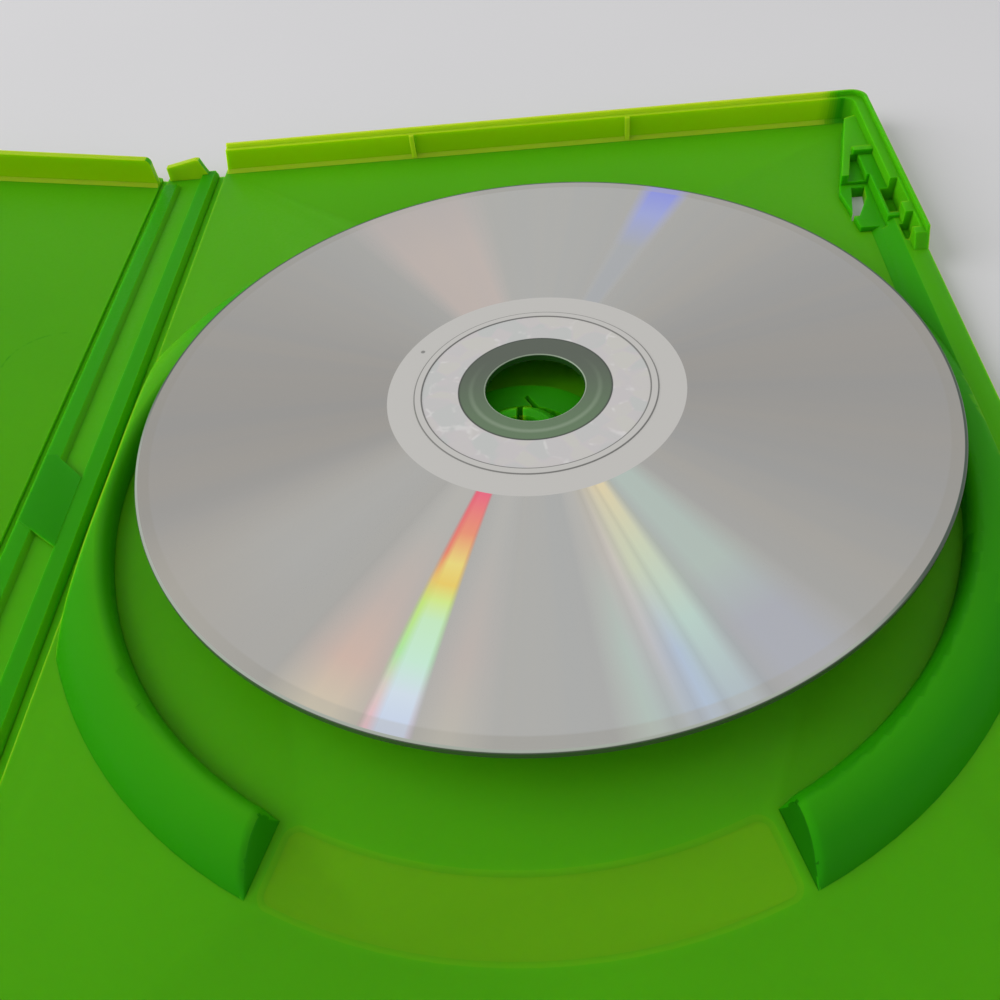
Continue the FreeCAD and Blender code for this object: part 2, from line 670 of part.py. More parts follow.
flange_start = -web_half - size["flange_cut"]
pad(cover, "XY_Plane", "cover_floor", under, floor_wall, [
    (-web_half, spine_top),
    (flange_start, top_y),
    (cover_edge + corner, top_y, corner),
    (cover_edge, top_y - corner),
    (cover_edge, low_y + corner, corner),
    (cover_edge + corner, low_y),
    (flange_start, low_y),
    (-web_half, spine_low),
])
cover_rim_start = -web_half - size["cover_start_low"]
cover_rim_high = -web_half - size["cover_start_high"]
cover_rim_round = size["cover_rim_round"]
pad(cover, "XY_Plane", "cover_rims", under, rim_height, [
    (cover_rim_start, cover_top),
    (cover_edge + corner, cover_top, corner),
    (cover_edge, cover_top - corner),
    (cover_edge, cover_low + corner, corner),
    (cover_edge + corner, cover_low),
    (cover_rim_start, cover_low),
    (cover_rim_start, cover_low + rim_wall),
    (cover_edge + edge_wall, cover_low + rim_wall),
    (cover_edge + edge_wall, cover_top - rim_wall),
    (cover_rim_start, cover_top - rim_wall),
])
for end, name in ((1, "top"), (-1, "low")):
    pad(cover, "YZ_Plane", "cover_rim_foot_" + name, cover_edge + edge_wall,
        cover_rim_start - cover_edge - edge_wall, foot_loop(cover_top, cover_low, end, inside))
lip_set = lip_wall + size["lip_gap"]
pocket(cover, "XY_Plane", "cover_lip_rabbet", rim_top, lip_height,
       box_loop(cover_edge - OVER, cover_edge + lip_set, low_y - OVER, top_y + OVER))
pocket(cover, "XZ_Plane", "cover_rim_ends", -(low_y - OVER), case_height + 2 * OVER, [
    (cover_rim_start, inside),
    (cover_rim_start + 2, inside),
    (cover_rim_start + 2, rim_top + OVER),
    (cover_rim_high - cover_rim_round, rim_top + OVER),
    (cover_rim_high - cover_rim_round, rim_top, -cover_rim_round),
    (cover_rim_high, rim_top - cover_rim_round),
])
cover_step = inside + size["step_rise"]
pocket(cover, "YZ_Plane", "cover_thumb_recess", cover_edge + edge_wall + OVER, edge_wall + 2 * OVER, [
    (recess_low + recess_slope, cover_step),
    (recess_high - recess_slope, cover_step),
    (recess_high, rim_top + OVER),
    (recess_low, rim_top + OVER),
])
tongue_middle = cover_edge + size["catch_skin"] + size["catch_wide"] / 2
tongue_half = catch_half - size["tongue_play"]
tongue_rise = closed_depth - 2 * floor_wall - size["catch_base"] - size["tongue_clear"]
tongue_plan = box_loop(tongue_middle - size["tongue_wall"] / 2, tongue_middle + size["tongue_wall"] / 2,
                       catch_middle - tongue_half, catch_middle + tongue_half)
tongue_loops = [mirrored_loop(tongue_plan, end, middle_y) for end in (1, -1)]
pad(cover, "XY_Plane", "cover_latch_tongues", inside - floor_wall / 2, tongue_rise + floor_wall / 2,
    *tongue_loops)
cover.setExpression("Placement.Base.x", cover_x.text)
cover.setExpression("Placement.Base.z", web_wall.text)
cover.Placement.Rotation = FreeCAD.Rotation(FreeCAD.Vector(0, 1, 0), size["cover_lift"].value)
cover.setExpression("Placement.Rotation.Angle", size["cover_lift"].text)

# Disc: lies loose with its far side on the ridge ends and its middle on the hub.
disc = new_body("game_disc")
stack_in = size["stack_radius"] - size["stack_wide"] / 2
stack_out = size["stack_radius"] + size["stack_wide"] / 2
disc_wall = size["disc_wall"]
BREAK = 0.15
turned(disc, "Revolution", "disc_blank", [
    (size["disc_bore"], BREAK),
    (size["disc_bore"] + BREAK, 0),
    (size["disc_radius"] - BREAK, 0),
    (size["disc_radius"], BREAK),
    (size["disc_radius"], disc_wall - BREAK),
    (size["disc_radius"] - BREAK, disc_wall),
    (stack_out, disc_wall),
    (stack_out - 0.2, disc_wall + size["stack_rise"]),
    (stack_in + 0.2, disc_wall + size["stack_rise"]),
    (stack_in, disc_wall),
    (size["disc_bore"] + BREAK, disc_wall),
    (size["disc_bore"], disc_wall - BREAK),
])
ridge_touch = root(crest * crest - size["notch_half"] * size["notch_half"])
lean = (hub_top - ridge_top) / (ridge_touch - hub_flat)
lean_angle = math.degrees(math.atan(lean.value))
disc_height = hub_top + size["rest_gap"] - lean * (size["disc_up"] - hub_flat)
disc.setExpression("Placement.Base.x", size["disc_right"].text)
disc.setExpression("Placement.Base.y", size["disc_up"].text)
disc.setExpression("Placement.Base.z", disc_height.text)
disc.Placement.Rotation = FreeCAD.Rotation(FreeCAD.Vector(-1, 0, 0), lean_angle)
disc.setExpression("Placement.Rotation.Angle", "atan(%s)" % lean.text)

doc.recompute()
os.makedirs("parts", exist_ok=True)
for item in doc.Objects:
    if "Invalid" in item.State or "Error" in item.State:
        raise RuntimeError("%s is %s" % (item.Name, item.State))
for body in (tray, spine, tray_web, cover_web, cover, disc):
    if body.Shape.isNull() or not body.Shape.isValid() or len(body.Shape.Solids) != 1:
        raise RuntimeError(body.Label + " has no single valid solid")
    body.Shape.exportStep("parts/%s.step" % body.Label)
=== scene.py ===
import math

import bmesh
import bpy
from mathutils import Euler, Matrix, Vector
from mathutils.bvhtree import BVHTree


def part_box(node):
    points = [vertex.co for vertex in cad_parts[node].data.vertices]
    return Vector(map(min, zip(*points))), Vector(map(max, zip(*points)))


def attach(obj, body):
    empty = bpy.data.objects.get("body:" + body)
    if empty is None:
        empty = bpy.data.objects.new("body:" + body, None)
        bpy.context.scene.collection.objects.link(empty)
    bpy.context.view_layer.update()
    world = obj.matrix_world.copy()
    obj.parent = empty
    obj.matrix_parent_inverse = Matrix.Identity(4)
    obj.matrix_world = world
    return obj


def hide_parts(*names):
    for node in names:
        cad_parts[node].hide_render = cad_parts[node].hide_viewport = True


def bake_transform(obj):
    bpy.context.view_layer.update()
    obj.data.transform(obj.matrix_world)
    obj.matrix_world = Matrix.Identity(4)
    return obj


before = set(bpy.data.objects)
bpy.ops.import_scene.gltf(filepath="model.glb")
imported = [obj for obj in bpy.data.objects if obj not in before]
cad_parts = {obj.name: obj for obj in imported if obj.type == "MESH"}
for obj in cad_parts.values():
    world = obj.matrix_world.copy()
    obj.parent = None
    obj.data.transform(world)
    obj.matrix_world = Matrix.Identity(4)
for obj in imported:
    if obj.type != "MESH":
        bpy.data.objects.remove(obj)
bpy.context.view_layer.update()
scene = bpy.context.scene
MM = 0.001


def link(obj):
    scene.collection.objects.link(obj)
    return obj


# Materials are built from small helpers, so that each one below reads as a list of steps.
def new_material(name):
    mat = bpy.data.materials.new(name)
    mat.use_nodes = True
    tree = mat.node_tree
    return mat, tree, tree.nodes["Principled BSDF"]


def node(tree, kind, **settings):
    made = tree.nodes.new(kind)
    for key, value in settings.items():
        setattr(made, key, value)
    return made


def feed(tree, socket, value):
    """Sets a socket from a number, a colour or another node's output."""
    if isinstance(value, (int, float)):
        socket.default_value = value
    elif isinstance(value, tuple):
        socket.default_value = (*value, 1.0) if len(value) == 3 and socket.type == "RGBA" else value
    else:
        tree.links.new(value, socket)


def calc(tree, operation, *values, clamp=False):
    made = node(tree, "ShaderNodeMath", operation=operation, use_clamp=clamp)
    for socket, value in zip(made.inputs, values):
        feed(tree, socket, value)
    return made.outputs[0]


def times(tree, first, second):
    return calc(tree, "MULTIPLY", first, second)


def rise(tree, value, low, high):
    """0 below low, 1 above high, and a smooth step between them; low may be above high."""
    made = node(tree, "ShaderNodeMapRange", interpolation_type="SMOOTHSTEP")
    feed(tree, made.inputs["Value"], value)
    feed(tree, made.inputs["From Min"], low)
    feed(tree, made.inputs["From Max"], high)
    return made.outputs["Result"]


def outside(tree, value, edge, soft):
    """1 above an edge and 0 below it, with a soft change."""
    return rise(tree, value, edge - soft, edge + soft)


def inside(tree, value, edge, soft):
    """1 below an edge and 0 above it, with a soft change."""
    return rise(tree, value, edge + soft, edge - soft)


def band(tree, value, low, high, soft):
    """1 between low and high, with soft edges."""
    return times(tree, outside(tree, value, low, soft), inside(tree, value, high, soft))


def wedge(tree, angle, left, right, soft):
    """1 between two directions, in degrees, with soft edges; the directions may be sockets."""
    up = calc(tree, "DIVIDE", calc(tree, "SUBTRACT", angle, left), soft)
    down = calc(tree, "DIVIDE", calc(tree, "SUBTRACT", right, angle), soft)
    up = calc(tree, "ADD", up, 0.5, clamp=True)
    down = calc(tree, "ADD", down, 0.5, clamp=True)
    return times(tree, up, down)


def ramp(tree, value, stops):
    made = node(tree, "ShaderNodeValToRGB")
    elements = made.color_ramp.elements
    while len(elements) < len(stops):
        elements.new(0.5)
    for element, (place, colour) in zip(elements, stops):
        element.position = place
        element.color = (*colour, 1.0)
    feed(tree, made.inputs["Fac"], value)
    return made.outputs["Color"]


def linear(colour):
    """A screen colour, 0 to 255, as the linear colour that a shader takes."""
    return tuple(c / 255 / 12.92 if c < 11 else ((c / 255 + 0.055) / 1.055) ** 2.4 for c in colour)


def screen_ramp(tree, value, stops, gain=1.0):
    """A ramp whose stops are screen colours, made brighter by a gain."""
    def scaled(colour):
        return tuple(min(gain * part, 1.0) for part in linear(colour))

    return ramp(tree, value, [(place, scaled(colour)) for place, colour in stops])


def mix_colour(tree, factor, first, second, blend="MIX"):
    made = node(tree, "ShaderNodeMix", data_type="RGBA", blend_type=blend)
    feed(tree, made.inputs[0], factor)
    feed(tree, made.inputs[6], first)
    feed(tree, made.inputs[7], second)
    return made.outputs[2]


def noise(tree, vector, scale, detail=2.0):
    made = node(tree, "ShaderNodeTexNoise")
    made.inputs["Scale"].default_value = scale
    made.inputs["Detail"].default_value = detail
    feed(tree, made.inputs["Vector"], vector)
    return made.outputs["Fac"]


def vector_step(tree, operation, first, second=None):
    made = node(tree, "ShaderNodeVectorMath", operation=operation)
    feed(tree, made.inputs[0], first)
    if second is not None:
        feed(tree, made.inputs[1], second)
    return made.outputs["Value" if operation in ("LENGTH", "DISTANCE") else "Vector"]


def split(tree, vector):
    made = node(tree, "ShaderNodeSeparateXYZ")
    feed(tree, made.inputs[0], vector)
    return made.outputs["X"], made.outputs["Y"], made.outputs["Z"]


def direction(tree, across, along):
    """The direction of a place about the Z axis, in degrees."""
    return times(tree, calc(tree, "ARCTAN2", along, across), 180 / math.pi)


def own_coords(tree):
    return node(tree, "ShaderNodeTexCoord").outputs["Object"]


def flat_mm(tree, coords):
    """Places in mm, seen from above."""
    return vector_step(tree, "MULTIPLY", coords, (1 / MM, 1 / MM, 0.0))


# The case's green by the depth of plastic in mm, and the yellower tones of painted light, as if light came
# through a thin wall from behind.
THICKEST = 6.0
DEEP_GREEN = (0.018, 0.28, 0.001)
GREENS = (
    (1.0, (0.150, 0.44, 0.004)),
    (1.45, (0.080, 0.43, 0.003)),
    (2.3, (0.045, 0.39, 0.002)),
    (3.6, (0.022, 0.31, 0.001)),
    (5.2, DEEP_GREEN),
    (THICKEST, (0.010, 0.17, 0.001)),
)
PAINTED_GLOWS = ((1.1, (0.50, 0.68, 0.020)), (1.8, (0.38, 0.67, 0.001)))
FLOW_MARKS, FLOW_SCALE, FLOW_RANGE = (0.93, 0.95, 0.93), 26.0, (0.3, 0.7)
# How much brighter the hinge webs are: partly their thin plastic, partly painted light that lifts the shade
# in their narrow grooves.
WEB_PAINTED_LIFT = 2.0

# The grain of the satin finish, and the wide spread that turns it into a roughness of about 0.35 to 0.5.
GRAIN_SCALE, GRAIN_SPREAD = 1600.0, (-1.1, 2.4)

# A curved scuff on the cover's inside: sizes in mm, and its two directions in degrees.
SCUFF_CENTRE = (-81.0, 27.0, 0.0)
SCUFF_RADIUS, SCUFF_HALF, SCUFF_SOFT = 10.0, 0.16, 0.12
SCUFF_FROM, SCUFF_TO, SCUFF_FADE = 100.0, 185.0, 12.0
SCUFF_STRENGTH = 0.6
SCUFF_PATCHES, SCUFF_GAPS = 0.5, (0.35, 0.65)


def scuff_mask(tree, coords):
    """1 along the curved scuff, broken up by noise."""
    flat = flat_mm(tree, coords)
    place = vector_step(tree, "SUBTRACT", flat, SCUFF_CENTRE)
    radius = vector_step(tree, "LENGTH", place)
    line = band(tree, radius, SCUFF_RADIUS - SCUFF_HALF, SCUFF_RADIUS + SCUFF_HALF, SCUFF_SOFT)
    across, along, _ = split(tree, place)
    angle = direction(tree, across, along)
    line = times(tree, line, wedge(tree, angle, SCUFF_FROM, SCUFF_TO, SCUFF_FADE))
    return times(tree, line, rise(tree, noise(tree, flat, SCUFF_PATCHES), *SCUFF_GAPS))


def by_depth(tree, depth, stops):
    """A colour that follows a depth of plastic in mm."""
    share = calc(tree, "DIVIDE", depth, THICKEST)
    return ramp(tree, share, [(place / THICKEST, colour) for place, colour in stops])


def case_plastic(name, lift=1.0, scuffed=False):
    """Translucent polypropylene: pale where it is thin, deep green where it is thick, and yellower where
    light is painted in as if it came through an upright wall; satin, with a fine grain and faint flow
    marks."""
    mat, tree, shader = new_material(name)
    coords = own_coords(tree)
    depth = node(tree, "ShaderNodeAttribute", attribute_name="thickness").outputs["Fac"]
    # Painted light: the share of yellow light painted in where a thin wall would pass it.
    painted_glow = node(tree, "ShaderNodeAttribute", attribute_name="painted_glow").outputs["Fac"]
    body = mix_colour(tree, painted_glow, by_depth(tree, depth, GREENS), by_depth(tree, depth, PAINTED_GLOWS))
    flow = noise(tree, coords, FLOW_SCALE, 3.0)
    # A lift brightens the whole piece; on the hinge webs it is partly painted light.
    tones = tuple(lift * part for part in FLOW_MARKS), (lift, lift, lift)
    marks = ramp(tree, flow, list(zip(FLOW_RANGE, tones)))
    body = mix_colour(tree, 1.0, body, marks, "MULTIPLY")
    if scuffed:
        body = mix_colour(tree, times(tree, scuff_mask(tree, coords), SCUFF_STRENGTH), body, DEEP_GREEN)
    feed(tree, shader.inputs["Base Color"], body)
    grain = noise(tree, coords, GRAIN_SCALE, 3.0)
    feed(tree, shader.inputs["Roughness"], rise(tree, grain, *GRAIN_SPREAD))
    bump = node(tree, "ShaderNodeBump")
    bump.inputs["Strength"].default_value = 0.04
    bump.inputs["Distance"].default_value = 0.05 * MM
    feed(tree, bump.inputs["Height"], grain)
    feed(tree, shader.inputs["Normal"], bump.outputs["Normal"])
    shader.inputs["Specular IOR Level"].default_value = 0.09
    shader.inputs["IOR"].default_value = 1.49
    shader.inputs["Subsurface Weight"].default_value = 1.0
    shader.inputs["Subsurface Radius"].default_value = (0.8, 1.0, 0.3)
    shader.inputs["Subsurface Scale"].default_value = 2.0 * MM
    return mat


# Radii of the disc's zones, its thickness and its small edges, in mm.
HOLE, CLEAR_RING = 7.5, 11.6
STACK_IN, STACK_OUT = 17.2, 18.3
DATA_IN, MARGIN, DATA_OUT = 22.4, 57.8, 59.45
DISC_RADIUS, DISC_THICK = 59.9, 1.2
HOLE_CUT, EDGE_CUT = 0.12, 0.15
STACK_RISE, STACK_SLOPE = 0.10, 0.10
SPECK, SPECK_SIZE, SPECK_SOFT, SPECK_STRENGTH = (-17.7, 10.0, 0.0), 0.35, 0.1, 0.7

# Softness of the zones' edges and of fine lines, and the lines and narrow zones themselves, in mm.
ZONE_SOFT, LINE_SOFT = 0.06, 0.05
STACK_LINES = ((STACK_IN, 0.11, 0.8), (STACK_OUT, 0.10, 0.75))
OUTLINE_IN, OUTLINE_OUT, OUTLINE_STRENGTH = 0.14, 0.06, 0.6
SHINE_IN, SHINE_OUT, SHINE_SOFT, SHINE_STRENGTH = 9.4, 10.0, 0.3, 0.6
RING_EDGE, HOLE_RIM_WIDE, HOLE_WALL_WIDE, HOLE_WALL_SOFT = 0.2, 0.2, 0.035, 0.015
MARGIN_SOFT, MARGIN_STRENGTH = 0.2, 0.35
SIDE_WIDE, SIDE_SOFT = 0.1, 0.02
PRINT_TOP, PRINT_SOFT = 0.075 - DISC_THICK / 2, 0.025

# Where the hub and the rim change from their far tones, painted shade, to their near tones, painted light,
# in mm from the disc's centre.
HUB_FADE, RIM_FADE = (8.0, -11.0), (10.0, -14.0)
HUB_CLEAR = 0.3

# The mirror's painted sheen, darker across the disc and brighter along it, and its faint painted rays from
# cool to warm, as linear colours.
MIRROR_SHEEN_ACROSS, MIRROR_SHEEN_ALONG = (0.61, 0.595, 0.565), (0.80, 0.80, 0.77)
RAY_SCALE, RAY_DETAIL = 5.0, 4.0
SHEEN_RAY_TONES = ((0.35, (0.94, 0.95, 0.97)), (0.65, (1.0, 0.98, 0.96)))

# Faint painted rainbow reflections on the mirror: two directions in degrees, softness, strength, and tints
# from inside out.
TINTS = {
    "grey": (175, 173, 168), "ash": (161, 164, 168), "slate": (164, 168, 182), "mist": (171, 183, 193),
    "umber": (171, 163, 150), "dust": (178, 166, 163), "rose": (191, 173, 165), "peach": (210, 176, 160),
    "straw": (192, 185, 168), "sand": (211, 199, 170), "gold": (222, 206, 164), "pearl": (206, 198, 190),
    "mint": (172, 192, 183), "aqua": (182, 208, 198), "lime": (200, 209, 181), "sky": (173, 191, 214),
    "lilac": (192, 190, 196), "violet": (148, 158, 216), "blue": (122, 132, 246),
}
PAINTED_STREAKS = (
    (-150, -128, 14, 0.45, ((0.6, "grey"), (1.0, "umber"))),
    (-120, -110, 7, 0.75, ((0.2, "grey"), (0.55, "rose"), (0.8, "peach"), (1.0, "sand"))),
    (-103, -97, 5, 0.55, ((0.2, "grey"), (0.7, "rose"), (1.0, "straw"))),
    (-80, -75, 4, 0.75, ((0.3, "grey"), (0.7, "mint"))),
    (-76, -72, 4, 0.75, ((0.0, "straw"), (0.35, "pearl"), (0.7, "lilac"), (1.0, "mist"))),
    (-73, -69, 3, 0.85, ((0.0, "sand"), (0.4, "lime"), (0.75, "sky"))),
    (-70, -65, 3, 0.90, ((0.0, "gold"), (0.33, "lime"), (0.65, "aqua"), (1.0, "mist"))),
    (-64, -53, 6, 0.70, ((0.5, "mint"), (0.75, "slate"))),
    (61.6, 68.6, 2.6, 0.90, ((0.45, "ash"), (0.75, "violet"), (1.0, "blue"))),
    (102, 124, 6, 0.65, ((0.5, "rose"), (1.0, "dust"))),
)
STREAK_GAIN = 1.3

# The bright streak, a painted rainbow highlight: its directions near the hub and its swing on the way out,
# in degrees, then how far its fringe reaches out and its core stays in, with their softness, and the tints
# of both from inside out.
BRIGHT_LEFT, BRIGHT_RIGHT, BRIGHT_SWING = -110.6, -105.6, 1.6
FRINGE_OUT, FRINGE_SOFT, FRINGE_STRENGTH = 0.7, 1.0, 0.95
CORE_IN, CORE_SOFT = 0.6, 1.2
BRIGHT_FRINGE = ((0.0, (255, 95, 125)), (0.3, (255, 140, 110)), (0.42, (255, 215, 110)),
                 (0.52, (215, 255, 130)), (0.72, (190, 255, 175)), (0.84, (235, 225, 215)),
                 (1.0, (255, 200, 215)))
BRIGHT_CORE = ((0.0, (255, 110, 140)), (0.2, (255, 160, 125)), (0.34, (255, 235, 135)),
               (0.43, (255, 222, 110)), (0.5, (230, 255, 150)), (0.58, (215, 255, 210)),
               (0.74, (215, 255, 230)), (0.86, (228, 242, 255)), (1.0, (215, 228, 255)))

# Tones of the disc's rings and edges.
FACET_SCALE, FACET_SOFT = 0.34, 0.35
FACET_TONES = ((0.2, (206, 208, 206)), (0.5, (213, 208, 209)), (0.8, (214, 212, 206)))
GLINT_EDGE, GLINT_SCALE, GLINT_RANGE, GLINT_STRENGTH = (0.12, 0.01), 0.30, (0.54, 0.66), 0.5
GLINT_TONE = linear((240, 238, 236))
PLAIN_TONE = linear((208, 206, 202))
LINE_TONE, SPECK_TONE, OUTLINE_TONE = (0.09, 0.09, 0.085), (0.12, 0.12, 0.115), (0.05, 0.055, 0.05)
# The clear ring's tones: far side darker as painted shade, near side lighter as painted light, with a
# painted highlight arc, and its dark edge.
CLEAR_FAR_PAINTED_SHADE, CLEAR_NEAR_PAINTED_LIGHT = linear((106, 116, 102)), linear((122, 152, 114))
CLEAR_SHINE, CLEAR_EDGE = linear((176, 196, 168)), linear((84, 96, 82))
# The hole's rim as a painted highlight, and its dark wall.
HOLE_RIM, HOLE_WALL = linear((184, 204, 176)), linear((44, 84, 36))
MARGIN_TONE = linear((196, 192, 180))
# The disc's rim, painted light on the near side and painted shade on the far and right-hand side, and its
# side wall painted dark as painted shade.
RIM_FAR_PAINTED_SHADE, RIM_NEAR_PAINTED_LIGHT, SIDE_WALL_PAINTED_SHADE = linear((66, 82, 70)), linear((178, 186, 174)), linear((66, 80, 60))
PRINT_TONES, PRINT_GRAIN = (linear((196, 196, 192)), linear((208, 208, 205))), 1.5


def disc_mirror(tree, flat, angle, out):
    """The data zone's colour, with its painted sheen and painted rainbow reflections, and how much of it
    scatters light instead of mirroring it.
    """
    turn = times(tree, angle, math.pi / 180)
    # Painted sheen: the mirror brighter along the disc than across it, and faint painted rays.
    upright = calc(tree, "POWER", calc(tree, "ABSOLUTE", calc(tree, "SINE", turn)), 2.0)
    colour = mix_colour(tree, upright, MIRROR_SHEEN_ACROSS, MIRROR_SHEEN_ALONG)
    rays = noise(tree, vector_step(tree, "NORMALIZE", flat), RAY_SCALE, RAY_DETAIL)
    colour = mix_colour(tree, 1.0, colour, ramp(tree, rays, SHEEN_RAY_TONES), "MULTIPLY")
    layers = []
    # Painted rainbow reflections, where the disc would split a lamp's light.
    for left, right, soft, strength, tints in PAINTED_STREAKS:
        stops = [(place, TINTS[tint]) for place, tint in tints]
        layers.append((wedge(tree, angle, left, right, soft), strength, stops, STREAK_GAIN))
    # The bright painted rainbow highlight.
    swing = times(tree, out, BRIGHT_SWING)
    left = calc(tree, "ADD", swing, BRIGHT_LEFT)
    right = calc(tree, "ADD", swing, BRIGHT_RIGHT)
    fringe = wedge(tree, angle, calc(tree, "SUBTRACT", left, FRINGE_OUT), right, FRINGE_SOFT)
    core = wedge(tree, angle, calc(tree, "ADD", left, CORE_IN), right, CORE_SOFT)
    layers += [(fringe, FRINGE_STRENGTH, BRIGHT_FRINGE, 1.0), (core, 1.0, BRIGHT_CORE, 1.0)]
    scatter = 0.0
    for mask, strength, stops, gain in layers:
        here = times(tree, mask, strength)
        colour = mix_colour(tree, here, colour, screen_ramp(tree, out, stops, gain))
        scatter = calc(tree, "MAXIMUM", scatter, here)
    return colour, scatter


def facet_ring(tree, flat):
    """A generic pattern of small pale facets, with glints along some of their edges."""
    cells = node(tree, "ShaderNodeTexVoronoi", feature="SMOOTH_F1")
    cells.inputs["Smoothness"].default_value = FACET_SOFT
    edges = node(tree, "ShaderNodeTexVoronoi", feature="DISTANCE_TO_EDGE")
    for pattern in (cells, edges):
        pattern.inputs["Scale"].default_value = FACET_SCALE
        feed(tree, pattern.inputs["Vector"], flat)
    facets = screen_ramp(tree, cells.outputs["Color"], FACET_TONES)
    glints = rise(tree, edges.outputs["Distance"], *GLINT_EDGE)
    glints = times(tree, glints, rise(tree, noise(tree, flat, GLINT_SCALE), *GLINT_RANGE))
    return mix_colour(tree, times(tree, glints, GLINT_STRENGTH), facets, GLINT_TONE)


def clear_hub(tree, radius, near):
    """The clear ring about the hole, painted lighter and greener on the near side as painted light, with a
    painted highlight arc there, the hole's rim as a painted highlight, and its dark wall.
    """
    clear = mix_colour(tree, near, CLEAR_FAR_PAINTED_SHADE, CLEAR_NEAR_PAINTED_LIGHT)
    shine = band(tree, radius, SHINE_IN, SHINE_OUT, SHINE_SOFT)
    shine = times(tree, shine, times(tree, near, SHINE_STRENGTH))
    clear = mix_colour(tree, shine, clear, CLEAR_SHINE)
    clear = mix_colour(tree, outside(tree, radius, CLEAR_RING - RING_EDGE, RING_EDGE), clear, CLEAR_EDGE)
    clear = mix_colour(tree, inside(tree, radius, HOLE + HOLE_RIM_WIDE, LINE_SOFT), clear, HOLE_RIM)
    wall = inside(tree, radius, HOLE + HOLE_WALL_WIDE, HOLE_WALL_SOFT)
    return mix_colour(tree, wall, clear, HOLE_WALL)


def disc_rings(tree, flat, radius, near):
    """The pale rings inside the data zone: plain ring, stacking ring, facet pattern and clear hub."""
    plain = outside(tree, radius, STACK_IN, LINE_SOFT)
    colour = mix_colour(tree, plain, facet_ring(tree, flat), PLAIN_TONE)
    for edge, half, strength in STACK_LINES:
        line = band(tree, radius, edge - half, edge + half, LINE_SOFT)
        colour = mix_colour(tree, times(tree, line, strength), colour, LINE_TONE)
    speck = inside(tree, vector_step(tree, "DISTANCE", flat, SPECK), SPECK_SIZE, SPECK_SOFT)
    colour = mix_colour(tree, times(tree, speck, SPECK_STRENGTH), colour, SPECK_TONE)
    hub = inside(tree, radius, CLEAR_RING, ZONE_SOFT)
    colour = mix_colour(tree, hub, colour, clear_hub(tree, radius, near))
    outline = band(tree, radius, CLEAR_RING - OUTLINE_IN, CLEAR_RING + OUTLINE_OUT, ZONE_SOFT)
    return mix_colour(tree, times(tree, outline, OUTLINE_STRENGTH), colour, OUTLINE_TONE)


def disc_material(name):
    """A pressed disc: clear hub ring, pale rings and a mirror with painted sheen and painted rainbow
    reflections, over a plain print.
    """
    mat, tree, shader = new_material(name)
    coords = own_coords(tree)
    flat = flat_mm(tree, coords)
    radius = vector_step(tree, "LENGTH", flat)
    across, along, _ = split(tree, flat)
    angle = direction(tree, across, along)
    out = calc(tree, "DIVIDE", calc(tree, "SUBTRACT", radius, DATA_IN), DATA_OUT - DATA_IN, clamp=True)
    # How near a place is, for the painted light on the hub's near side.
    near = rise(tree, along, *HUB_FADE)
    mirror, scatter = disc_mirror(tree, flat, angle, out)
    margin = times(tree, outside(tree, radius, MARGIN, MARGIN_SOFT), MARGIN_STRENGTH)
    mirror = mix_colour(tree, margin, mirror, MARGIN_TONE)
    data = band(tree, radius, DATA_IN, DATA_OUT, ZONE_SOFT)
    colour = mix_colour(tree, data, disc_rings(tree, flat, radius, near), mirror)
    # Painted light on the rim's near side, painted shade on its far and right-hand side.
    near_side = rise(tree, calc(tree, "ADD", along, calc(tree, "MAXIMUM", across, 0.0)), *RIM_FADE)
    rim = mix_colour(tree, near_side, RIM_FAR_PAINTED_SHADE, RIM_NEAR_PAINTED_LIGHT)
    colour = mix_colour(tree, outside(tree, radius, DATA_OUT, LINE_SOFT), colour, rim)
    # Painted shade on the disc's side wall.
    side = outside(tree, radius, DISC_RADIUS - SIDE_WIDE, SIDE_SOFT)
    colour = mix_colour(tree, side, colour, SIDE_WALL_PAINTED_SHADE)
    _, _, height = split(tree, coords)
    printed = times(tree, inside(tree, height, PRINT_TOP * MM, PRINT_SOFT * MM), data)
    speckle = mix_colour(tree, noise(tree, flat, PRINT_GRAIN), *PRINT_TONES)
    feed(tree, shader.inputs["Base Color"], mix_colour(tree, printed, colour, speckle))
    mirrored = times(tree, data, calc(tree, "SUBTRACT", 1.0, scatter))
    mirrored = times(tree, mirrored, calc(tree, "SUBTRACT", 1.0, printed))
    feed(tree, shader.inputs["Metallic"], mirrored)
    hub = inside(tree, radius, CLEAR_RING, ZONE_SOFT)
    feed(tree, shader.inputs["Transmission Weight"], times(tree, hub, HUB_CLEAR))
    shader.inputs["Roughness"].default_value = 0.22
    shader.inputs["IOR"].default_value = 1.58
    return mat


FLOOR_SCALE = 9.0
FLOOR_TONES = ((0.0, (0.765, 0.76, 0.775)), (1.0, (0.795, 0.79, 0.805)))


def pale_floor(name):
    mat, tree, shader = new_material(name)
    tone = noise(tree, own_coords(tree), FLOOR_SCALE)
    feed(tree, shader.inputs["Base Color"], ramp(tree, tone, FLOOR_TONES))
    shader.inputs["Roughness"].default_value = 0.8
    return mat


GREEN = case_plastic("case_green")
SCUFFED = case_plastic("cover_green", scuffed=True)
# The hinge webs, painted brighter by the lift: partly thin plastic, partly painted light over their
# grooves' shade.
WEB = case_plastic("web_green", lift=WEB_PAINTED_LIFT)
SILVER = disc_material("disc_silver")
PALE = pale_floor("pale_floor")

# Places on the case, in mm.
FLOOR_TOP = 1.1
LEVEL_STEP, SLACK = 0.1, 0.02
RIDGE_IN, CREST_IN, RIDGE_OUT = 60.5, 62.0, 70.5
